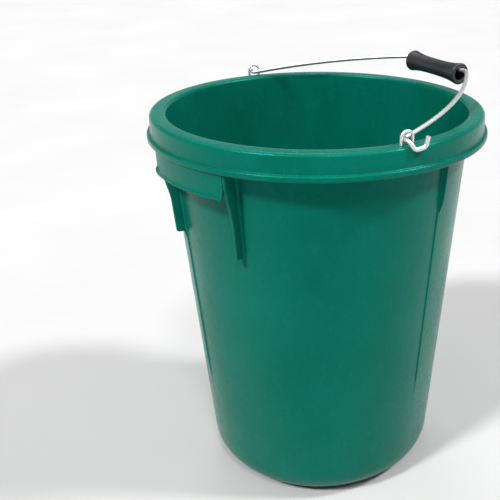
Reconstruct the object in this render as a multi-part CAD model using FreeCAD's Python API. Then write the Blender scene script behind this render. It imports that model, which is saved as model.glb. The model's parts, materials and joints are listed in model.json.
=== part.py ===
"""Moulded stable bucket with a hinged wire bail and a loose spool-shaped hand grip.

Millimetres, +Z up. The origin is the middle of the base, on the surface that the bucket stands on.
The bail turns about an axis along X, through the two wire eyes in the rim, and lies over towards +Y.
"""

import FreeCAD
import Part
import os
from math import atan2, cos, degrees, radians, sin, tan

V = FreeCAD.Vector
UP = V(0, 0, 1)
ORIGIN = V(0, 0, 0)

# ---------------------------------------------------------------- driving dimensions
# bucket moulding
HEIGHT = 414.0
WALL = 3.0
BASE_CONE_RADIUS = 129.0        # the wall's cone where it would meet the floor
SHOULDER_RADIUS = 155.0         # outside of the wall beside the rim's bead
SHOULDER_DEPTH = 23.6           # of that level below the rim's top
CORNER_RADIUS = 35.5            # outside, between wall and base
RECESS_RADIUS = 74.0            # shallow recess under the base
RECESS_DEPTH = 1.5

# hollow rim, an inverted U with a bead along its lower edge
RIM_RADIUS = 170.0
RIM_EDGE_RADIUS = 4.0
MOUTH_EDGE_RADIUS = 3.5
BAND_FLARE = 0.8                # how far the band leans out over its height
BEAD_RADIUS = 174.2
BEAD_TOP_DEPTH = 18.4
BEAD_BOTTOM_DEPTH = 24.6
BEAD_EDGE_RADIUS = 2.0

# two deep skirts below the bead
SKIRT_CENTRES = (285.1, 105.1)
SKIRT_HALF_ANGLE = 17.75
SKIRT_RADIUS = 171.8            # outside, just below the bead
SKIRT_DEPTH = 48.2
SKIRT_DRAFT = 0.4
SKIRT_LIP = 2.5                 # how far the lower edge turns out
SKIRT_LIP_HEIGHT = 3.6
SKIRT_CORNER = 4.0

# gusset plates, which fill the rim's channel and stand on the wall below it
GUSSET_THICKNESS = 3.0
NESTING_ANGLES = (267.7, 303.3, 87.7, 123.3)
NESTING_PROUD = 10.2
NESTING_SHOULDER_DEPTH = 38.0   # where the outer edge leaves the skirt
NESTING_SLANT_DEPTH = 71.5
NESTING_BOTTOM_DEPTH = 111.0
SHORT_ANGLES = (22.2, 196.5)
SHORT_PROUD = 4.8
SHORT_SLANT_DEPTH = 70.0
SHORT_BOTTOM_DEPTH = 82.0

# low ridges that run down the wall below some of the gussets
RIDGE_ANGLES = (267.7, 87.7, 22.2, 196.5)
RIDGE_WIDTH = 7.0
RIDGE_PROUD = 1.2
RIDGE_BOTTOM = 112.0            # height of its foot above the floor

# wire eyes in the rim
EYE_WIRE = 3.0
EYE_RADIUS = 163.5              # from the bucket's middle
EYE_SPACING = 12.0
EYE_RISE = 12.3                 # wire centre at the crown, above the rim's top
EYE_FOOT_DROP = 5.7
EYE_FOOT_LENGTH = 7.5
EYE_FOOT_BEND = 2.5
EYE_HOLE_CLEARANCE = 0.15

# bail
BAIL_WIRE = 4.2
PIVOT_RISE = 5.0                # pivot axis above the rim's top
BAIL_REST_ANGLE = 8.6           # above level, where the hook's end rests beside the rim
BAIL_REACH = 152.0              # pivot axis to the straight length under the hand
BAIL_STRAIGHT_HALF = 49.4
BAIL_SHOULDER_BEND = 6.0
BAIL_LEG_TOP_ANGLE = 36.0
BAIL_LEG_FOOT_ANGLE = 72.4
HOOK_RADIUS = 5.3
HOOK_BACK = 2.1                 # how far the hook's bend passes the pivot axis
HOOK_TIP_BEND = 4.0
RAISED_END_RADIUS = 173.3       # this end hangs down outside the rim and turns up at its tip
RAISED_END_DROP = 7.8
RAISED_HEEL_OUT = 1.5
RAISED_TOE_OUT = 12.3
RAISED_TIP_OUT = 15.5
FLAT_END_RADIUS = 170.4         # the other end stays nearly in the bail's plane
FLAT_END_OUT = 14.5
FLAT_END_DROP = 0.8

# hand grip
GRIP_LENGTH = 88.0
GRIP_END_RADIUS = 11.6
GRIP_WAIST_RADIUS = 8.5
GRIP_FLARE_POWER = 3.0
GRIP_BORE_RADIUS = 6.75
GRIP_EDGE = 1.8
GRIP_WIRE_GAP = 0.3
GRIP_SLID = -4.5                # how far it has slid along the wire


# ---------------------------------------------------------------- helpers
def rounded_edges(points, radii, closed=False):
    """Straight edges through the points, with an arc of the given radius tangent at each corner."""
    count = len(points)
    corners = range(count) if closed else range(1, count - 1)
    entry = list(points)
    leave = list(points)
    arcs = {}
    for i in corners:
        if radii[i] <= 0:
            continue
        here = points[i]
        back = (points[i - 1] - here).normalize()
        ahead = (points[(i + 1) % count] - here).normalize()
        half = back.getAngle(ahead) / 2
        reach = radii[i] / tan(half)
        entry[i] = here + back * reach
        leave[i] = here + ahead * reach
        middle_way = (back + ahead).normalize()
        middle = here + middle_way * (radii[i] / sin(half) - radii[i])
        arcs[i] = Part.Arc(entry[i], middle, leave[i]).toShape()
    edges = []
    for i in range(count if closed else count - 1):
        if i in arcs:
            edges.append(arcs[i])
        following = (i + 1) % count
        if leave[i].distanceToPoint(entry[following]) > 1e-4:
            edges.append(Part.makeLine(leave[i], entry[following]))
    return edges


def section_face(outline):
    """A face in the XZ plane from (radius, height, corner radius) rows."""
    points = [V(r, 0, z) for r, z, _ in outline]
    radii = [corner for _, _, corner in outline]
    return Part.Face(Part.Wire(rounded_edges(points, radii, closed=True)))


def turned_to(shape, angle):
    """The shape turned about the bucket's axis."""
    return shape.rotated(ORIGIN, UP, angle)


def tube(points, radii, diameter):
    """Round wire bent along the points."""
    path = Part.Wire(rounded_edges(points, radii))
    section = Part.Wire(Part.makeCircle(diameter / 2, points[0], points[1] - points[0]))
    return path.makePipeShell([section], True, True)


# ---------------------------------------------------------------- bucket body
SHOULDER_HEIGHT = HEIGHT - SHOULDER_DEPTH
WALL_SLOPE = (SHOULDER_RADIUS - BASE_CONE_RADIUS) / SHOULDER_HEIGHT
BAND_INSIDE = RIM_RADIUS - WALL


def wall_radius(z):
    """Outside radius of the wall's cone at height z."""
    return BASE_CONE_RADIUS + WALL_SLOPE * z


def shell():
    """Base, wall, rim and bead as one revolved section."""
    underside = HEIGHT - WALL
    bead_top = HEIGHT - BEAD_TOP_DEPTH
    bead_bottom = HEIGHT - BEAD_BOTTOM_DEPTH
    outline = [
        (0, RECESS_DEPTH, 0),
        (RECESS_RADIUS, RECESS_DEPTH, 1.0),
        (RECESS_RADIUS + 2 * RECESS_DEPTH, 0, 1.0),
        (BASE_CONE_RADIUS, 0, CORNER_RADIUS),
        (wall_radius(underside), underside, 2.0),
        (BAND_INSIDE, underside, 2.0),
        (BAND_INSIDE + BAND_FLARE, bead_top, 1.0),
        (BEAD_RADIUS - WALL, bead_bottom, 0.8),
        (BEAD_RADIUS, bead_bottom, BEAD_EDGE_RADIUS),
        (BEAD_RADIUS, bead_top, BEAD_EDGE_RADIUS),
        (RIM_RADIUS + BAND_FLARE, bead_top, 0.8),
        (RIM_RADIUS, HEIGHT, RIM_EDGE_RADIUS),
        (wall_radius(HEIGHT) - WALL, HEIGHT, MOUTH_EDGE_RADIUS),
        (wall_radius(WALL) - WALL, WALL + RECESS_DEPTH, CORNER_RADIUS - WALL),
        (0, WALL + RECESS_DEPTH, 0),
    ]
    return section_face(outline).revolve(ORIGIN, UP, 360)


def skirt(centre):
    """One deep skirt: a turned band trimmed to a shield with rounded lower corners."""
    top = HEIGHT - BEAD_TOP_DEPTH
    lip_top = HEIGHT - SKIRT_DEPTH + SKIRT_LIP_HEIGHT
    bottom = HEIGHT - SKIRT_DEPTH
    low_radius = SKIRT_RADIUS - SKIRT_DRAFT
    band = section_face([
        (SKIRT_RADIUS, top, 0),
        (low_radius, lip_top, 2.0),
        (low_radius + SKIRT_LIP, bottom, 0.9),
        (low_radius + SKIRT_LIP - WALL, bottom, 0.9),
        (low_radius - WALL, lip_top, 2.0),
        (SKIRT_RADIUS - WALL, top, 0),
    ])
    sweep = 2 * SKIRT_HALF_ANGLE + 10
    ring = turned_to(band, -sweep / 2).revolve(ORIGIN, UP, sweep)
    half_width = SKIRT_RADIUS * sin(radians(SKIRT_HALF_ANGLE))
    start = SKIRT_RADIUS / 2
    shield = [
        V(start, -half_width, top + 1),
        V(start, -half_width, bottom - 0.01),
        V(start, half_width, bottom - 0.01),
        V(start, half_width, top + 1),
    ]
    edges = rounded_edges(shield, [0, SKIRT_CORNER, SKIRT_CORNER, 0], closed=True)
    prism = Part.Face(Part.Wire(edges)).extrude(V(RIM_RADIUS, 0, 0))
    return turned_to(ring.common(prism), centre)


def plate(outline, thickness, angle):
    """A radial plate of the given section, centred on an angle round the bucket."""
    face = section_face(outline)
    face.translate(V(0, -thickness / 2, 0))
    return turned_to(face.extrude(V(0, thickness, 0)), angle)


def nesting_gusset(angle):
    """A plate at a skirt's end, from the rim's underside down the wall; its outer edge slants in below."""
    top = HEIGHT - WALL / 2
    slant_level = HEIGHT - NESTING_SLANT_DEPTH
    foot = HEIGHT - NESTING_BOTTOM_DEPTH
    inset = WALL / 2
    outline = [
        (wall_radius(top) - inset, top, 0),
        (wall_radius(foot) - inset, foot, 0),
        (wall_radius(foot) + NESTING_PROUD, foot, 1.5),
        (wall_radius(slant_level) + NESTING_PROUD, slant_level, 6.0),
        (SKIRT_RADIUS - SKIRT_DRAFT, HEIGHT - NESTING_SHOULDER_DEPTH, 6.0),
        (SKIRT_RADIUS - SKIRT_DRAFT, HEIGHT - BEAD_BOTTOM_DEPTH + 1, 0),
        (BAND_INSIDE + WALL / 3, HEIGHT - BEAD_TOP_DEPTH, 0),
        (BAND_INSIDE + WALL / 3, top, 0),
    ]
    return plate(outline, GUSSET_THICKNESS, angle)


def short_gusset(angle):
    """A low plate from the rim's underside down the wall, tapering out into the ridge below it."""
    top = HEIGHT - WALL / 2
    slant_level = HEIGHT - SHORT_SLANT_DEPTH
    foot = HEIGHT - SHORT_BOTTOM_DEPTH
    inset = WALL / 2
    outline = [
        (wall_radius(top) - inset, top, 0),
        (wall_radius(foot) - inset, foot, 0),
        (wall_radius(foot) + RIDGE_PROUD, foot, 0),
        (wall_radius(slant_level) + SHORT_PROUD, slant_level, 4.0),
        (wall_radius(top) + SHORT_PROUD, top, 0),
    ]
    return plate(outline, GUSSET_THICKNESS, angle)


def ridge(angle):
    """A low ridge down the wall, fading out at its foot."""
    top = HEIGHT - SHORT_SLANT_DEPTH
    fade = RIDGE_BOTTOM + 12
    inset = WALL / 2
    outline = [
        (wall_radius(top) - inset, top, 0),
        (wall_radius(RIDGE_BOTTOM) - inset, RIDGE_BOTTOM, 0),
        (wall_radius(RIDGE_BOTTOM) + 0.05, RIDGE_BOTTOM, 0),
        (wall_radius(fade) + RIDGE_PROUD, fade, 0),
        (wall_radius(top) + RIDGE_PROUD, top, 0),
    ]
    return plate(outline, RIDGE_WIDTH, angle)


def bucket_body():
    """The whole moulding, with the four holes that the eyes' legs pass through."""
    added = [skirt(centre) for centre in SKIRT_CENTRES]
    added += [nesting_gusset(angle) for angle in NESTING_ANGLES]
    added += [short_gusset(angle) for angle in SHORT_ANGLES]
    added += [ridge(angle) for angle in RIDGE_ANGLES]
    body = shell().fuse(added)
    hole_radius = EYE_WIRE / 2 + EYE_HOLE_CLEARANCE
    holes = [
        Part.makeCylinder(hole_radius, 2 * WALL, V(x, y, HEIGHT - 1.5 * WALL))
        for x in (-EYE_RADIUS, EYE_RADIUS)
        for y in (-EYE_SPACING / 2, EYE_SPACING / 2)
    ]
    return body.cut(holes)


# ---------------------------------------------------------------- wire parts
def rim_eye(side):
    """An inverted U of wire through the rim, its feet turned out under the rim's top."""
    x = side * EYE_RADIUS
    leg = EYE_SPACING / 2
    foot = HEIGHT - EYE_FOOT_DROP
    crown = HEIGHT + EYE_RISE
    points = [
        V(x, -leg - EYE_FOOT_LENGTH, foot),
        V(x, -leg, foot),
        V(x, -leg, crown),
        V(x, leg, crown),
        V(x, leg, foot),
        V(x, leg + EYE_FOOT_LENGTH, foot),
    ]
    return tube(points, [0, EYE_FOOT_BEND, leg, leg, EYE_FOOT_BEND, 0], EYE_WIRE)


PIVOT = V(0, 0, HEIGHT + PIVOT_RISE)
REST = radians(BAIL_REST_ANGLE)
BAIL_OUT = V(0, cos(REST), sin(REST))
BAIL_NORMAL = V(0, -sin(REST), cos(REST))


def bail_point(x, out, lift=0.0):
    """A point of the bail from its place along the pivot axis, away from it, and off the bail's plane."""
    return PIVOT + V(x, 0, 0) + BAIL_OUT * out + BAIL_NORMAL * lift


def bail_leg():
    """Corner points and bend radii of one leg, from the grip's shoulder to the hook's outer strand."""
    top, foot = radians(BAIL_LEG_TOP_ANGLE), radians(BAIL_LEG_FOOT_ANGLE)
    centre_out = HOOK_RADIUS - HOOK_BACK
    start_x = EYE_RADIUS - HOOK_RADIUS * sin(foot)
    start_out = centre_out - HOOK_RADIUS * cos(foot)
    turn = (foot + radians(90)) / 2
    reach = HOOK_RADIUS * tan(turn / 2)
    inner = (start_x + reach * cos(foot), start_out - reach * sin(foot))
    outer = (EYE_RADIUS + HOOK_RADIUS, centre_out - reach)
    shoulder = (BAIL_STRAIGHT_HALF, BAIL_REACH)
    span_x, span_out = inner[0] - shoulder[0], shoulder[1] - inner[1]
    along = (span_x * sin(foot) - span_out * cos(foot)) / sin(foot - top)
    knee = (shoulder[0] + along * cos(top), shoulder[1] - along * sin(top))
    knee_turn = foot - top
    shoulder_reach = BAIL_SHOULDER_BEND * tan(top / 2)
    knee_radius = (along - shoulder_reach) / tan(knee_turn / 2)
    return [shoulder, knee, inner, outer], [BAIL_SHOULDER_BEND, knee_radius, HOOK_RADIUS, HOOK_RADIUS]


def bail_wire():
    """One length of wire: straight under the grip, two bowed legs, and a hook at each end."""
    corners, bends = bail_leg()
    right = [bail_point(x, out) for x, out in corners]
    left = [bail_point(-x, out) for x, out in corners]
    raised_end = [
        bail_point(RAISED_END_RADIUS, RAISED_HEEL_OUT, -RAISED_END_DROP),
        bail_point(RAISED_END_RADIUS, RAISED_TOE_OUT, -RAISED_END_DROP),
        bail_point(RAISED_END_RADIUS, RAISED_TIP_OUT),
    ]
    flat_end = [bail_point(-FLAT_END_RADIUS, FLAT_END_OUT, -FLAT_END_DROP)]
    points = flat_end + left[::-1] + right + raised_end
    radii = [0] + bends[::-1] + bends + [HOOK_TIP_BEND, HOOK_TIP_BEND, 0]
    return tube(points, radii, BAIL_WIRE)


def grip():
    """A hollow spool that hangs on the straight length of the bail."""
    half = GRIP_LENGTH / 2
    flare = GRIP_END_RADIUS - GRIP_WAIST_RADIUS
    stations = [half * step / 4 for step in range(-4, 5)]
    curve = Part.BSplineCurve()
    curve.interpolate([
        V(x, 0, GRIP_WAIST_RADIUS + flare * abs(x / half) ** GRIP_FLARE_POWER) for x in stations
    ])
    outside = curve.toShape()
    ends = [V(half, 0, GRIP_END_RADIUS), V(half, 0, GRIP_BORE_RADIUS)]
    ends += [V(-half, 0, GRIP_BORE_RADIUS), V(-half, 0, GRIP_END_RADIUS)]
    lines = [Part.makeLine(a, b) for a, b in zip(ends, ends[1:])]
    spool = Part.Face(Part.Wire([outside] + lines)).revolve(ORIGIN, V(1, 0, 0), 360)
    rims = [
        edge for edge in spool.Edges
        if isinstance(edge.Curve, Part.Circle) and abs(edge.Curve.Radius - GRIP_END_RADIUS) < 0.01
    ]
    spool = spool.makeFillet(GRIP_EDGE, rims)
    hang = GRIP_BORE_RADIUS - BAIL_WIRE / 2 - GRIP_WIRE_GAP
    spool.translate(bail_point(GRIP_SLID, BAIL_REACH) - V(0, 0, hang))
    return spool


def main():
    """Write one STEP file for each piece."""
    os.makedirs("parts", exist_ok=True)
    pieces = {
        "bucket_body": bucket_body(),
        "rim_eye_left": rim_eye(-1),
        "rim_eye_right": rim_eye(1),
        "bail_wire": bail_wire(),
        "grip": grip(),
    }
    for name, shape in pieces.items():
        solid = shape.Solids[0] if len(shape.Solids) == 1 else shape
        solid.exportStep(f"parts/{name}.step")
        print(name, "valid", solid.isValid(), "solids", len(shape.Solids), "volume", round(solid.Volume))


main()
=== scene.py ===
"""Looks of the moulded stable bucket: shell, wire eyes, bail and hand grip, with floor, lights and camera.

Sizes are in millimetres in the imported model's frame, and become metres where a mesh is made.
"""

import json
from math import ceil, cos, exp, pi, radians, sin, sqrt, tan

import bpy
import bmesh
from mathutils import Matrix, Vector


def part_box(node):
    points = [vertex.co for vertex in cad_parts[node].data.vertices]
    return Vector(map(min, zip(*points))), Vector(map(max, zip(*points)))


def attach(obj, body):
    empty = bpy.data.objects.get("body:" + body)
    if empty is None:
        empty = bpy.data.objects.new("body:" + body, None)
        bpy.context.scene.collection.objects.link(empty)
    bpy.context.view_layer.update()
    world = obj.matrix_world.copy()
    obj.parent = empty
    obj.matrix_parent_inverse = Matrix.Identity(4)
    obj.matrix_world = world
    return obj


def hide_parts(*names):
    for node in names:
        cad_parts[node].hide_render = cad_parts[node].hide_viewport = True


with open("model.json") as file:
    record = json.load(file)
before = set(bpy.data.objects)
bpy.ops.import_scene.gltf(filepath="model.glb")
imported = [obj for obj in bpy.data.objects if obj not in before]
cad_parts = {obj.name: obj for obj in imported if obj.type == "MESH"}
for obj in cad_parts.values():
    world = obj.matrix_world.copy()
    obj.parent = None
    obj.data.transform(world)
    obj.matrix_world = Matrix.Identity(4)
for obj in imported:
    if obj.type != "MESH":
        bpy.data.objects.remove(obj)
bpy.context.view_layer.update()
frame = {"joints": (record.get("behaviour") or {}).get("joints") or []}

MM = 0.001

# ---------------------------------------------------------------- sizes
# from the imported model
BODY_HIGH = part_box("bucket_body")[1]
HEIGHT = BODY_HIGH[2] / MM
BEAD_RADIUS = BODY_HIGH[0] / MM
SWING = next(j for j in frame["joints"] if j["name"] == "bail_swing")
PIVOT_HEIGHT = SWING["pos_m"][2] / MM

# bucket moulding
WALL = 3.0
BASE_CONE_RADIUS = 129.0        # where the wall's cone would meet the floor
SHOULDER_RADIUS = 155.0
SHOULDER_DEPTH = 23.6
CORNER_RADIUS = 35.5            # outside, between wall and base
RECESS_RADIUS = 74.0            # shallow recess under the base
RECESS_DEPTH = 1.5
RIM_RADIUS = 170.0
RIM_EDGE_RADIUS = 4.0
MOUTH_EDGE_RADIUS = 3.5
BAND_FLARE = 0.8                # how far the band leans out over its height
BEAD_TOP_DEPTH = 18.4
BEAD_BOTTOM_DEPTH = 24.6
BEAD_EDGE_RADIUS = 2.0

# skirts, gussets and ridges: angles round the bucket in degrees
SKIRT_CENTRES = (285.1, 105.1)
SKIRT_HALF_ANGLE = 17.75
SKIRT_RADIUS = 171.8
SKIRT_DEPTH = 48.2
SKIRT_DRAFT = 0.4
SKIRT_LIP = 2.5                 # how far the lower edge turns out
SKIRT_LIP_HEIGHT = 4.2
SKIRT_LIP_WALL = 2.6
SKIRT_BEND_WALL = 2.8
SKIRT_BEND = 4.0
SKIRT_CORNER = 4.0
SKIRT_TOP_DROP = 2.0            # its top is inside the bead, this far below the bead's top
SKIRT_SECTIONS = 64
GUSSET_THICKNESS = 3.0
NESTING_ANGLES = (267.7, 303.3, 87.7, 123.3)
NESTING_PROUD = 10.2
NESTING_SHOULDER_DEPTH = 38.0
NESTING_SLANT_DEPTH = 71.5
NESTING_BOTTOM_DEPTH = 111.0
SHORT_ANGLES = (22.2, 196.5)
SHORT_PROUD = 4.8
SHORT_SLANT_DEPTH = 70.0
SHORT_BOTTOM_DEPTH = 82.0
RIDGE_ANGLES = (267.7, 87.7, 22.2, 196.5)
RIDGE_PROUD = 1.2
RIDGE_BOTTOM = 112.0            # height of its foot above the floor
RIDGE_FOOT = 30.0               # height over which the foot rises
RIDGE_FLAT_HALF = 2.4
RIDGE_HALF = 3.7
RIDGE_TOP_DEPTHS = (50.0, 66.0)     # it fades in between these, below the rim's top
SINK_LINE_DEPTH = 0.28          # faint hollow lines inside, behind the plates
SINK_LINE_WIDTH = 1.4
SINK_LINE_FOOT = (200.0, 320.0)     # heights between which it fades in
SINK_LINE_TOP_DEPTHS = (12.0, 30.0)
RELIEF_LOW = 30.0               # the wall is plain below this height and above this depth
RELIEF_TOP_DEPTH = 8.0
RELIEF_HALF = 7.0               # nothing of a ridge or line is further across than this
SECTION_STEP = 1.25             # degrees between the shell's sections
FINE_STEP = 0.15                # and beside each ridge and line
FINE_COUNT = 13

# wires
WIRE_SIDES = 20
WIRE_END = 0.6                  # length of a cut end's rounding, as a share of the radius
EYE_WIRE = 3.0
EYE_RADIUS = 163.5
EYE_LEG = 6.0
EYE_RISE = 12.3
EYE_FOOT_DROP = 5.7
EYE_FOOT_LENGTH = 7.5
EYE_FOOT_BEND = 2.5
EYE_CROWN_BEND = 5.9
COLLAR_SIDES = 24
BAIL_WIRE = 4.2
BAIL_REST_ANGLE = 8.6
BAIL_REACH = 152.0
BAIL_STRAIGHT_HALF = 49.4
BAIL_SHOULDER_BEND = 6.0
BAIL_LEG_TOP_ANGLE = 36.0
BAIL_LEG_FOOT_ANGLE = 72.4
HOOK_RADIUS = 5.3
HOOK_BACK = 2.1
HOOK_TIP_BEND = 4.0
RAISED_END_RADIUS = 173.3
RAISED_END_DROP = 7.8
RAISED_HEEL_OUT = 1.5
RAISED_TOE_OUT = 12.3
RAISED_TIP_OUT = 15.5
FLAT_END_RADIUS = 170.4
FLAT_END_OUT = 14.5
FLAT_END_DROP = 0.8

# grip
GRIP_LENGTH = 88.0
GRIP_END_RADIUS = 11.6
GRIP_WAIST_RADIUS = 8.5
GRIP_FLARE_POWER = 3.0
GRIP_FLARE_STOP = 2.2           # the flare stops this far short of the ends
GRIP_BORE_RADIUS = 6.75
GRIP_EDGE = 1.8                 # rounding of the ends
GRIP_MOUTH = 0.8                # easing of the bore's ends
GRIP_FACET = 0.25
GRIP_SIDES = 72

# camera
CAMERA_AZIMUTH = 62.29
CAMERA_ELEVATION = 13.63
CAMERA_DISTANCE = 795.4         # from the middle of the rim's top
CAMERA_PAN = -1.59
CAMERA_TILT = -13.89
CAMERA_ROLL = 0.20
CAMERA_LENS = 53.99
CAMERA_SHIFT = (-0.18, 0.08)


# ---------------------------------------------------------------- mesh helpers
def finish_mesh(name, bm, smooth_angle=32):
    """Makes an object from a bmesh in millimetres."""
    bmesh.ops.remove_doubles(bm, verts=bm.verts, dist=1e-4)
    loose = [e for e in bm.edges if not e.link_faces]
    bmesh.ops.delete(bm, geom=loose, context="EDGES")
    bmesh.ops.recalc_face_normals(bm, faces=bm.faces)
    bmesh.ops.scale(bm, vec=(MM, MM, MM), verts=bm.verts)
    mesh = bpy.data.meshes.new(name)
    bm.to_mesh(mesh)
    bm.free()
    mesh.shade_smooth()
    mesh.set_sharp_from_angle(angle=radians(smooth_angle))
    obj = bpy.data.objects.new(name, mesh)
    bpy.context.scene.collection.objects.link(obj)
    return obj


def loft(bm, rings, closed=False):
    """Faces between neighbouring rings of points; open lofts get a cap at each end."""
    rows = [[bm.verts.new(p) for p in ring] for ring in rings]
    count = len(rows[0])
    spans = len(rows) if closed else len(rows) - 1
    for i in range(spans):
        here, there = rows[i], rows[(i + 1) % len(rows)]
        for j in range(count):
            k = (j + 1) % count
            bm.faces.new((here[j], here[k], there[k], there[j]))
    if not closed:
        bm.faces.new(rows[0][::-1])
        bm.faces.new(rows[-1])


def rounded(points, radii, step=10, closed=False, longest=None):
    """Points along straight runs with tangent arcs at the corners.

    Arc points are at most step degrees apart, and no gap is longer than longest, where that is given.
    """
    out = []
    count = len(points)
    for i in range(count):
        here = Vector(points[i])
        inside = closed or 0 < i < count - 1
        if not inside or radii[i] <= 0:
            out.append(here)
            continue
        back = (Vector(points[i - 1]) - here).normalized()
        ahead = (Vector(points[(i + 1) % count]) - here).normalized()
        half = back.angle(ahead) / 2
        turn = pi - 2 * half
        centre = here + (back + ahead).normalized() * (radii[i] / sin(half))
        spoke = here + back * (radii[i] / tan(half)) - centre
        axis_turn = here + ahead * (radii[i] / tan(half)) - centre
        parts = max(2, ceil(turn / radians(step)))
        for k in range(parts + 1):
            a = turn * k / parts
            out.append(centre + (spoke * sin(turn - a) + axis_turn * sin(a)) / sin(turn))
    if longest is None:
        return out
    filled = []
    for i, here in enumerate(out):
        filled.append(here)
        if i + 1 < len(out) or closed:
            there = out[(i + 1) % len(out)]
            parts = ceil((there - here).length / longest)
            filled += [here.lerp(there, k / parts) for k in range(1, parts)]
    return filled


def ring_at(centre, across, up, size):
    """Points of a circle of wire round the centre, in the plane of across and up."""
    turns = [2 * pi * k / WIRE_SIDES for k in range(WIRE_SIDES)]
    return [centre + (across * cos(a) + up * sin(a)) * size for a in turns]


def tube(bm, path, radius):
    """A round wire along the path, its two ends slightly rounded over."""
    last = len(path) - 1
    tangents = [(path[min(i + 1, last)] - path[max(i - 1, 0)]).normalized() for i in range(last + 1)]
    normal = tangents[0].orthogonal().normalized()
    places = []
    for i, tangent in enumerate(tangents):
        if i:
            normal = (tangents[i - 1].rotation_difference(tangent) @ normal).normalized()
        places.append((path[i], normal.copy(), tangent.cross(normal).normalized()))
    rings = [ring_at(*place, radius) for place in places]
    head, tail = [], []
    for share, inset in ((0.35, 0.0), (0.75, 0.35), (1.0, 1.0)):
        size = radius * (1 - WIRE_END * (1 - sqrt(1 - 0.96 * inset * inset)))
        reach = WIRE_END * radius * share
        for (centre, across, up), outwards, end in (
            (places[0], -tangents[0], head),
            (places[-1], tangents[-1], tail),
        ):
            end.append(ring_at(centre + outwards * reach, across, up, size))
    loft(bm, head[::-1] + rings + tail)


def at_angle(r, across, z, angle):
    """A point r out and across sideways, at an angle in degrees round the bucket."""
    a = radians(angle)
    return Vector((r * cos(a) - across * sin(a), r * sin(a) + across * cos(a), z))


def smooth_step(start, end, value):
    """0 up to start, 1 from end on, and an eased ramp between; end may be below start."""
    share = min(1.0, max(0.0, (value - start) / (end - start)))
    return share * share * (3 - 2 * share)


# ---------------------------------------------------------------- bucket body
SHOULDER_HEIGHT = HEIGHT - SHOULDER_DEPTH
WALL_SLOPE = (SHOULDER_RADIUS - BASE_CONE_RADIUS) / SHOULDER_HEIGHT
BAND_INSIDE = RIM_RADIUS - WALL


def wall_radius(z):
    """Outside radius of the wall's cone at height z."""
    return BASE_CONE_RADIUS + WALL_SLOPE * z


def shell_section():
    """The wall, base and rim as a closed run of (radius, 0, height) points."""
    underside = HEIGHT - WALL
    bead_top = HEIGHT - BEAD_TOP_DEPTH
    bead_bottom = HEIGHT - BEAD_BOTTOM_DEPTH
    # radius, height and corner radius: up the outside, over the rim and down the inside
    rows = [
        (0, RECESS_DEPTH, 0),
        (RECESS_RADIUS, RECESS_DEPTH, 1.0),
        (RECESS_RADIUS + 2 * RECESS_DEPTH, 0, 1.0),
        (BASE_CONE_RADIUS, 0, CORNER_RADIUS),
        (wall_radius(underside), underside, 2.0),
        (BAND_INSIDE, underside, 2.0),
        (BAND_INSIDE + BAND_FLARE, bead_top, 1.0),
        (BEAD_RADIUS - WALL, bead_bottom, 0.8),
        (BEAD_RADIUS, bead_bottom, BEAD_EDGE_RADIUS),
        (BEAD_RADIUS, bead_top, BEAD_EDGE_RADIUS),
        (RIM_RADIUS + BAND_FLARE, bead_top, 0.8),
        (RIM_RADIUS, HEIGHT, RIM_EDGE_RADIUS),
        (wall_radius(HEIGHT) - WALL, HEIGHT, MOUTH_EDGE_RADIUS),
        (wall_radius(WALL) - WALL, WALL + RECESS_DEPTH, CORNER_RADIUS - WALL),
        (0, WALL + RECESS_DEPTH, 0),
    ]
    points = [(r, 0, z) for r, z, _ in rows]
    return rounded(points, [c for _, _, c in rows], step=9, closed=True, longest=14)


def shell_angles():
    """Angles for the shell's sections: even, and close together at each ridge and sink line."""
    angles = {round(k * SECTION_STEP, 3) for k in range(round(360 / SECTION_STEP))}
    for middle in NESTING_ANGLES + SHORT_ANGLES:
        angles = {a for a in angles if abs(a - middle) > FINE_STEP * (FINE_COUNT + 1)}
        angles |= {round(middle + k * FINE_STEP, 3) for k in range(-FINE_COUNT, FINE_COUNT + 1)}
    return sorted(angles)


def shell_relief(angle, r, z):
    """How far the moulding's skin stands off its plain section at a place, outwards."""
    on_wall = RELIEF_LOW < z < HEIGHT - RELIEF_TOP_DEPTH and r < wall_radius(z) + 0.5
    if not on_wall:
        return 0.0
    outside = r > wall_radius(z) - WALL / 2
    depth = HEIGHT - z
    relief = 0.0
    for middle in NESTING_ANGLES + SHORT_ANGLES:
        across = (angle - middle) * radians(1) * r
        if abs(across) > RELIEF_HALF:
            continue
        if outside and middle in RIDGE_ANGLES:
            foot = smooth_step(RIDGE_BOTTOM, RIDGE_BOTTOM + RIDGE_FOOT, z)
            fade = foot * smooth_step(*RIDGE_TOP_DEPTHS, depth)
            relief += RIDGE_PROUD * fade * (1 - smooth_step(RIDGE_FLAT_HALF, RIDGE_HALF, abs(across)))
        if not outside:
            fade = smooth_step(*SINK_LINE_FOOT, z) * smooth_step(*SINK_LINE_TOP_DEPTHS, depth)
            relief += SINK_LINE_DEPTH * fade * exp(-(across / SINK_LINE_WIDTH) ** 2)
    return relief


def build_shell(bm):
    """The turned shell with its ridges and sink lines."""
    section = shell_section()
    rings = []
    for angle in shell_angles():
        ring = []
        for r, _, z in section:
            ring.append(at_angle(r + shell_relief(angle, r, z), 0, z, angle))
        rings.append(ring)
    loft(bm, rings, closed=True)


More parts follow.
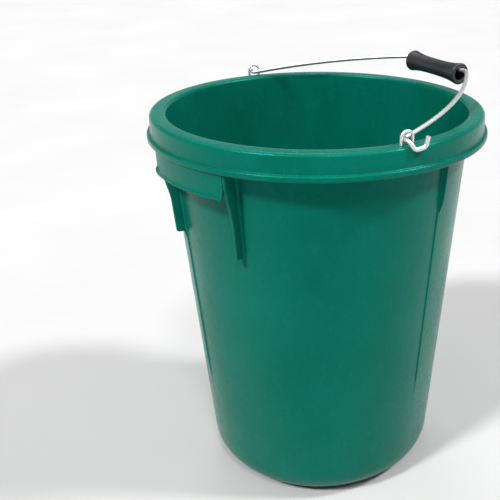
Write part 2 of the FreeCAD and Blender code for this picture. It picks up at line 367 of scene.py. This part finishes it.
def build_skirt(bm, centre):
    """One skirt below the bead, with rounded lower corners and a lip turned outwards."""
    top = HEIGHT - BEAD_TOP_DEPTH - SKIRT_TOP_DROP
    low = SKIRT_RADIUS - SKIRT_DRAFT
    rings = []
    for k in range(SKIRT_SECTIONS + 1):
        even = 1 - 2 * k / SKIRT_SECTIONS
        share = even * (1.5 - 0.5 * even * even)        # sections crowd towards both ends
        angle = centre - share * SKIRT_HALF_ANGLE
        from_end = radians((1 - abs(share)) * SKIRT_HALF_ANGLE) * SKIRT_RADIUS
        short = max(0.0, SKIRT_CORNER - from_end)
        lift = SKIRT_CORNER - sqrt(SKIRT_CORNER ** 2 - short ** 2)
        bottom = HEIGHT - SKIRT_DEPTH + lift
        lip_top = bottom + SKIRT_LIP_HEIGHT
        # radius, height and corner radius
        rows = [
            (SKIRT_RADIUS, top, 0),
            (low, lip_top, SKIRT_BEND),
            (low + SKIRT_LIP, bottom, 0.9),
            (low + SKIRT_LIP - SKIRT_LIP_WALL, bottom, 0.9),
            (low - SKIRT_BEND_WALL, lip_top, SKIRT_BEND),
            (SKIRT_RADIUS - WALL, top, 0),
        ]
        points = [(r, 0, z) for r, z, _ in rows]
        section = rounded(points, [c for _, _, c in rows], step=18, closed=True)
        rings.append([at_angle(r, 0, z, angle) for r, _, z in section])
    loft(bm, rings)


def build_plate(bm, angle, levels):
    """A radial plate on the wall from (depth, outer radius) levels: root fillet, flat side, eased edge."""
    half = GUSSET_THICKNESS / 2
    rings = []
    for depth, out in levels:
        z = HEIGHT - depth
        wall = wall_radius(z)
        proud = max(out - wall, 0.05)
        ease = min(1.0, proud / 4)      # a low plate's fillet is smaller
        side = [
            (wall - 1.2, half + 2.6),
            (wall + 0.15 * ease, half + 2.0 * ease),
            (wall + 0.6 * ease, half + 0.9 * ease),
            (wall + 1.6 * ease, half + 0.2 * ease),
            (wall + proud - 0.9 * ease, half),
            (wall + proud - 0.3 * ease, half - 0.25),
            (wall + proud, half - 0.9),
        ]
        ring = [at_angle(r, across, z, angle) for r, across in side]
        ring += [at_angle(r, -across, z, angle) for r, across in side[::-1]]
        rings.append(ring)
    loft(bm, rings)


def eased_levels(corners):
    """Levels down a plate's outer edge: the corners joined by runs, each corner cut twice to round it."""
    points = [Vector((depth, out, 0)) for depth, out in corners]
    for _ in range(2):
        cut = [points[0]]
        for here, there in zip(points, points[1:]):
            cut += [here.lerp(there, 0.25), here.lerp(there, 0.75)]
        points = cut + [points[-1]]
    return [(p.x, p.y) for p in points]


def proud_at(depth, proud):
    """A level below the rim's top, and the radius that stands proud of the wall there."""
    return (depth, wall_radius(HEIGHT - depth) + proud)


def nesting_levels():
    """The outer edge of a plate at a skirt's end, with its blunt foot and the fillet's tail below."""
    skirt = SKIRT_RADIUS - SKIRT_DRAFT
    bottom = NESTING_BOTTOM_DEPTH
    edge = eased_levels([
        (1.5, skirt - 4), (BEAD_TOP_DEPTH, skirt - 3), (BEAD_BOTTOM_DEPTH, skirt),
        (NESTING_SHOULDER_DEPTH, skirt), proud_at(NESTING_SLANT_DEPTH, NESTING_PROUD),
        proud_at(NESTING_SLANT_DEPTH + 12, NESTING_PROUD), proud_at(bottom - 6, NESTING_PROUD),
        proud_at(bottom - 1.5, NESTING_PROUD),
    ])
    # its underside, then the fillet's tail down the wall
    foot = [
        proud_at(bottom - 0.5, NESTING_PROUD - 0.5), proud_at(bottom, NESTING_PROUD - 1.5),
        proud_at(bottom + 0.3, 3.6), proud_at(bottom + 0.9, 2.6), proud_at(bottom + 6, 1.9),
        proud_at(bottom + 14, 0.05),
    ]
    return edge + foot


def short_levels():
    """The outer edge of a low plate, which tapers out into the ridge below it."""
    return eased_levels([
        proud_at(1.5, SHORT_PROUD), proud_at(SHORT_SLANT_DEPTH / 2, SHORT_PROUD),
        proud_at(SHORT_SLANT_DEPTH, SHORT_PROUD), proud_at(SHORT_BOTTOM_DEPTH, RIDGE_PROUD),
        proud_at(SHORT_BOTTOM_DEPTH + 8, 0.1),
    ])


def build_collar(bm, x, y):
    """The low lip of plastic pushed up round an eye's leg; its section is radius and height."""
    section = [(1.7, -0.5), (1.7, 0.3), (1.95, 0.55), (2.3, 0.45), (2.65, 0.1), (2.8, -0.5)]
    rings = []
    for k in range(COLLAR_SIDES):
        a = 2 * pi * k / COLLAR_SIDES
        uneven = 1 + 0.12 * sin(3 * a + x) + 0.08 * sin(5 * a + y)
        rings.append([Vector((x + r * cos(a), y + r * sin(a), HEIGHT + z * uneven)) for r, z in section])
    loft(bm, rings, closed=True)


def build_bucket():
    """The whole moulding as one object."""
    bm = bmesh.new()
    build_shell(bm)
    for x in (-EYE_RADIUS, EYE_RADIUS):
        for y in (-EYE_LEG, EYE_LEG):
            build_collar(bm, x, y)
    for centre in SKIRT_CENTRES:
        build_skirt(bm, centre)
    for angle in NESTING_ANGLES:
        build_plate(bm, angle, nesting_levels())
    for angle in SHORT_ANGLES:
        build_plate(bm, angle, short_levels())
    bucket = finish_mesh("bucket_moulding", bm)
    bucket.data.materials.append(moulded_plastic())
    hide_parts("bucket_body")
    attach(bucket, "bucket")


# ---------------------------------------------------------------- wires
def build_eye(side, label):
    """An inverted U of wire through the rim."""
    x = side * EYE_RADIUS
    foot = HEIGHT - EYE_FOOT_DROP
    crown = HEIGHT + EYE_RISE
    points = [
        (x, -EYE_LEG - EYE_FOOT_LENGTH, foot),
        (x, -EYE_LEG, foot),
        (x, -EYE_LEG, crown),
        (x, EYE_LEG, crown),
        (x, EYE_LEG, foot),
        (x, EYE_LEG + EYE_FOOT_LENGTH, foot),
    ]
    bends = [0, EYE_FOOT_BEND, EYE_CROWN_BEND, EYE_CROWN_BEND, EYE_FOOT_BEND, 0]
    path = rounded(points, bends, step=8)
    bm = bmesh.new()
    tube(bm, path, EYE_WIRE / 2)
    eye = finish_mesh(f"eye_{label}_wire", bm)
    eye.data.materials.append(galvanised_wire())
    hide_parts(f"rim_eye_{label}")
    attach(eye, "bucket")


def bail_point(x, out, lift=0.0):
    """A point of the bail from its place along the pivot axis, away from it, and off the bail's plane."""
    rest = radians(BAIL_REST_ANGLE)
    y = out * cos(rest) - lift * sin(rest)
    z = out * sin(rest) + lift * cos(rest)
    return Vector((x, y, PIVOT_HEIGHT + z))


def bail_leg():
    """Corner points and bend radii of one leg, from the grip's shoulder to the hook's outer strand."""
    top, foot = radians(BAIL_LEG_TOP_ANGLE), radians(BAIL_LEG_FOOT_ANGLE)
    centre_out = HOOK_RADIUS - HOOK_BACK
    start_x = EYE_RADIUS - HOOK_RADIUS * sin(foot)
    start_out = centre_out - HOOK_RADIUS * cos(foot)
    turn = (foot + radians(90)) / 2
    reach = HOOK_RADIUS * tan(turn / 2)
    inner = (start_x + reach * cos(foot), start_out - reach * sin(foot))
    outer = (EYE_RADIUS + HOOK_RADIUS, centre_out - reach)
    shoulder = (BAIL_STRAIGHT_HALF, BAIL_REACH)
    span_x, span_out = inner[0] - shoulder[0], shoulder[1] - inner[1]
    along = (span_x * sin(foot) - span_out * cos(foot)) / sin(foot - top)
    knee = (shoulder[0] + along * cos(top), shoulder[1] - along * sin(top))
    knee_radius = (along - BAIL_SHOULDER_BEND * tan(top / 2)) / tan((foot - top) / 2)
    return [shoulder, knee, inner, outer], [BAIL_SHOULDER_BEND, knee_radius, HOOK_RADIUS, HOOK_RADIUS]


def build_bail():
    """One length of wire: straight under the grip, two bowed legs, and a hook at each end."""
    corners, bends = bail_leg()
    right = [bail_point(x, out) for x, out in corners]
    left = [bail_point(-x, out) for x, out in corners]
    raised_end = [
        bail_point(RAISED_END_RADIUS, RAISED_HEEL_OUT, -RAISED_END_DROP),
        bail_point(RAISED_END_RADIUS, RAISED_TOE_OUT, -RAISED_END_DROP),
        bail_point(RAISED_END_RADIUS, RAISED_TIP_OUT),
    ]
    flat_end = [bail_point(-FLAT_END_RADIUS, FLAT_END_OUT, -FLAT_END_DROP)]
    points = flat_end + left[::-1] + right + raised_end
    path = rounded(points, [0] + bends[::-1] + bends + [HOOK_TIP_BEND, HOOK_TIP_BEND, 0], step=3)
    bm = bmesh.new()
    tube(bm, path, BAIL_WIRE / 2)
    bail = finish_mesh("bail", bm)
    bail.data.materials.append(galvanised_wire())
    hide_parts("bail_wire")
    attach(bail, "bail")


# ---------------------------------------------------------------- grip
def build_grip():
    """The hollow spool that hangs on the bail's straight length."""
    low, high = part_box("grip")
    middle = [(a + b) / 2 / MM for a, b in zip(low, high)]
    lip = (high[2] - low[2]) / 2 / MM
    half = GRIP_LENGTH / 2
    flare = GRIP_END_RADIUS - GRIP_WAIST_RADIUS
    stations = [GRIP_LENGTH * (k / 32 - 0.5) for k in range(33)]
    outside = [
        (x, GRIP_WAIST_RADIUS + flare * abs(x / half) ** GRIP_FLARE_POWER)
        for x in stations if abs(x) < half - GRIP_FLARE_STOP
    ]
    turns = [pi / 2 * k / 6 for k in range(7)]
    right = [(half - GRIP_EDGE + GRIP_EDGE * sin(a), lip - GRIP_EDGE + GRIP_EDGE * cos(a)) for a in turns]
    right += [
        (half, GRIP_BORE_RADIUS + GRIP_MOUTH),
        (half - GRIP_FACET, GRIP_BORE_RADIUS + GRIP_FACET),
        (half - GRIP_MOUTH, GRIP_BORE_RADIUS),
    ]
    left = [(-x, r) for x, r in right[::-1]]
    bore = [(x, GRIP_BORE_RADIUS) for x in (half - 10, 0, 10 - half)]
    section = outside + right + bore + left
    rings = []
    for k in range(GRIP_SIDES):
        a = 2 * pi * k / GRIP_SIDES
        rings.append([
            Vector((middle[0] + x, middle[1] + r * cos(a), middle[2] + r * sin(a))) for x, r in section
        ])
    bm = bmesh.new()
    loft(bm, rings, closed=True)
    grip = finish_mesh("hand_grip", bm, smooth_angle=50)
    grip.data.materials.append(grip_plastic())
    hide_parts("grip")
    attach(grip, "handle")


# ---------------------------------------------------------------- materials
GREEN_DARK = (0.0004, 0.088, 0.059)
GREEN_LIGHT = (0.0008, 0.112, 0.078)
GREEN_STREAK = (0.002, 0.122, 0.088)
GREEN_SCUFF = (0.010, 0.165, 0.130)
GREEN_GLOSS = (0.08, 1.0, 0.86)
ZINC_DARK = (0.21, 0.235, 0.27)
ZINC_LIGHT = (0.33, 0.36, 0.405)
BLACK_DARK = (0.008, 0.010, 0.014)
BLACK_LIGHT = (0.019, 0.022, 0.029)


def new_material(name):
    """A node material with its tree, its Principled shader and object-space coordinates."""
    material = bpy.data.materials.new(name)
    material.use_nodes = True
    tree = material.node_tree
    shader = tree.nodes["Principled BSDF"]
    coords = tree.nodes.new("ShaderNodeTexCoord")
    return material, tree, shader, coords.outputs["Object"]


def noise(tree, vector, scale, detail=3.0, stretch=(1, 1, 1), roughness=0.5, offset=(0, 0, 0)):
    """Noise values on stretched coordinates."""
    mapping = tree.nodes.new("ShaderNodeMapping")
    mapping.inputs["Scale"].default_value = stretch
    mapping.inputs["Location"].default_value = offset
    tree.links.new(vector, mapping.inputs["Vector"])
    texture = tree.nodes.new("ShaderNodeTexNoise")
    texture.inputs["Scale"].default_value = scale
    texture.inputs["Detail"].default_value = detail
    texture.inputs["Roughness"].default_value = roughness
    tree.links.new(mapping.outputs["Vector"], texture.inputs["Vector"])
    return texture.outputs["Fac"]


def ramp(tree, value, stops):
    """A colour ramp; each stop is (place, grey or colour)."""
    node = tree.nodes.new("ShaderNodeValToRGB")
    elements = node.color_ramp.elements
    while len(elements) < len(stops):
        elements.new(0.5)
    for element, (place, colour) in zip(elements, stops):
        element.position = place
        element.color = (colour,) * 3 + (1,) if isinstance(colour, float) else colour + (1,)
    tree.links.new(value, node.inputs["Fac"])
    return node.outputs["Color"]


def mix(tree, share, low, high):
    """low where share is 0 and high where it is 1; each is an output or a colour."""
    node = tree.nodes.new("ShaderNodeMix")
    node.data_type = "RGBA"
    tree.links.new(share, node.inputs[0])
    for value, socket in ((low, node.inputs[6]), (high, node.inputs[7])):
        if isinstance(value, tuple):
            socket.default_value = value + (1,)
        else:
            tree.links.new(value, socket)
    return node.outputs[2]


def bump(tree, height, strength, distance, below=None):
    """A bump of the given height field, on top of another one where that is given."""
    node = tree.nodes.new("ShaderNodeBump")
    node.inputs["Strength"].default_value = strength
    node.inputs["Distance"].default_value = distance
    tree.links.new(height, node.inputs["Height"])
    if below is not None:
        tree.links.new(below, node.inputs["Normal"])
    return node.outputs["Normal"]


def moulded_plastic():
    """Green polyethylene: faint mottling and flow lines, fine grain, soft sheen and light scuffs."""
    material, tree, shader, place = new_material("green_moulding")
    mottle = noise(tree, place, 9, 5, offset=(0.31, 0.12, 0.55))
    flow = noise(tree, place, 14, 4, stretch=(1, 1, 0.16), offset=(0.7, 0.2, 0.1))
    grain = noise(tree, place, 900, 2)
    peel = noise(tree, place, 120, 3)
    scuff = noise(tree, place, 90, 6, stretch=(1, 1, 0.6), roughness=0.75)
    base = ramp(tree, mottle, [(0.3, GREEN_DARK), (0.7, GREEN_LIGHT)])
    streaked = mix(tree, ramp(tree, flow, [(0.35, 0.0), (0.75, 0.5)]), base, GREEN_STREAK)
    scuffed = mix(tree, ramp(tree, scuff, [(0.54, 0.0), (0.76, 0.2)]), streaked, GREEN_SCUFF)
    tree.links.new(scuffed, shader.inputs["Base Color"])
    rough = ramp(tree, scuff, [(0.35, 0.20), (0.8, 0.36)])
    tree.links.new(rough, shader.inputs["Roughness"])
    wavy = bump(tree, peel, 0.35, 0.0007)
    tree.links.new(bump(tree, grain, 0.5, 0.0003, wavy), shader.inputs["Normal"])
    shader.inputs["Specular IOR Level"].default_value = 0.2
    shader.inputs["Specular Tint"].default_value = GREEN_GLOSS + (1,)
    return material


def galvanised_wire():
    """Zinc-coated steel wire: grey, rather dull, mottled by its spangle, with a fine grain."""
    name = "galvanised_wire"
    if name in bpy.data.materials:
        return bpy.data.materials[name]
    material, tree, shader, place = new_material(name)
    spangle = noise(tree, place, 260, 4, roughness=0.6)
    fine = noise(tree, place, 1500, 2)
    base = ramp(tree, spangle, [(0.3, ZINC_DARK), (0.7, ZINC_LIGHT)])
    tree.links.new(base, shader.inputs["Base Color"])
    tree.links.new(ramp(tree, spangle, [(0.3, 0.55), (0.75, 0.70)]), shader.inputs["Roughness"])
    tree.links.new(bump(tree, fine, 0.2, 0.0001), shader.inputs["Normal"])
    shader.inputs["Metallic"].default_value = 0.75
    return material


def grip_plastic():
    """Black moulded grip: satin, with a fine grain and slightly paler patches."""
    material, tree, shader, place = new_material("black_grip")
    patch = noise(tree, place, 45, 5)
    grain = noise(tree, place, 1400, 3)
    base = ramp(tree, patch, [(0.3, BLACK_DARK), (0.75, BLACK_LIGHT)])
    tree.links.new(base, shader.inputs["Base Color"])
    tree.links.new(ramp(tree, patch, [(0.3, 0.36), (0.75, 0.50)]), shader.inputs["Roughness"])
    tree.links.new(bump(tree, grain, 0.3, 0.0002), shader.inputs["Normal"])
    return material


def floor_material():
    """Pale, matt floor with the faintest unevenness."""
    material, tree, shader, place = new_material("pale_floor")
    patch = noise(tree, place, 2.5, 4)
    tree.links.new(ramp(tree, patch, [(0.3, 0.39), (0.7, 0.42)]), shader.inputs["Base Color"])
    shader.inputs["Roughness"].default_value = 0.85
    return material


# ---------------------------------------------------------------- stage
def build_floor():
    """A plain floor far wider than the view."""
    mesh = bpy.data.meshes.new("floor")
    reach = 30.0
    drop = -0.0002
    corners = [(-reach, -reach, drop), (reach, -reach, drop), (reach, reach, drop), (-reach, reach, drop)]
    mesh.from_pydata(corners, [], [(0, 1, 2, 3)])
    floor = bpy.data.objects.new("floor", mesh)
    bpy.context.scene.collection.objects.link(floor)
    mesh.materials.append(floor_material())


def add_sun(name, azimuth, elevation, angle, strength):
    """A soft distant light; azimuth 0 is at -Y and 90 at +X."""
    turn, rise = radians(azimuth), radians(elevation)
    away = Vector((sin(turn) * cos(rise), -cos(turn) * cos(rise), sin(rise)))
    data = bpy.data.lights.new(name, "SUN")
    data.angle = radians(angle)
    data.energy = strength
    light = bpy.data.objects.new(name, data)
    light.rotation_euler = away.to_track_quat("Z", "Y").to_euler()
    bpy.context.scene.collection.objects.link(light)


def light_scene():
    """Surroundings bright overhead and near the horizon and dark between, and four soft lights."""
    scene = bpy.context.scene
    world = bpy.data.worlds.new("surroundings")
    world.use_nodes = True
    tree = world.node_tree
    coords = tree.nodes.new("ShaderNodeTexCoord")
    split = tree.nodes.new("ShaderNodeSeparateXYZ")
    tree.links.new(coords.outputs["Generated"], split.inputs["Vector"])
    stops = [(0.1, 0.95), (0.2, 0.55), (0.34, 0.03), (0.55, 0.04), (0.95, 1.3)]
    sky = ramp(tree, split.outputs["Z"], stops)
    background = tree.nodes["Background"]
    tree.links.new(sky, background.inputs["Color"])
    background.inputs["Strength"].default_value = 0.7
    scene.world = world
    add_sun("left", CAMERA_AZIMUTH - 48, 47, 8, 3.6)
    add_sun("right", CAMERA_AZIMUTH + 84, 48, 8, 2.9)
    add_sun("front", CAMERA_AZIMUTH + 12, 54, 8, 0.9)
    add_sun("back", CAMERA_AZIMUTH + 190, 60, 20, 0.7)
    scene.view_settings.view_transform = "Standard"


def place_camera():
    """The camera, a little above the rim and close in front of the bucket, looking down at it."""
    scene = bpy.context.scene
    data = bpy.data.cameras.new("camera")
    data.sensor_width = 36.0
    data.lens = CAMERA_LENS
    data.shift_x, data.shift_y = CAMERA_SHIFT
    data.clip_start = 0.01
    camera = bpy.data.objects.new("camera", data)
    turn = Matrix.Rotation(radians(CAMERA_AZIMUTH), 4, "Z")
    lean = Matrix.Rotation(radians(90 - CAMERA_ELEVATION), 4, "X")
    aim = (Matrix.Rotation(radians(CAMERA_PAN), 4, "Y") @ Matrix.Rotation(radians(CAMERA_TILT), 4, "X")
           @ Matrix.Rotation(radians(-CAMERA_ROLL), 4, "Z"))
    rim = Matrix.Translation((0, 0, HEIGHT * MM))
    back = Matrix.Translation((0, 0, CAMERA_DISTANCE * MM))
    camera.matrix_world = rim @ turn @ lean @ back @ aim
    scene.collection.objects.link(camera)
    scene.camera = camera


build_bucket()
for eye_side, eye_label in ((-1, "left"), (1, "right")):
    build_eye(eye_side, eye_label)
build_bail()
build_grip()
build_floor()
light_scene()
place_camera()
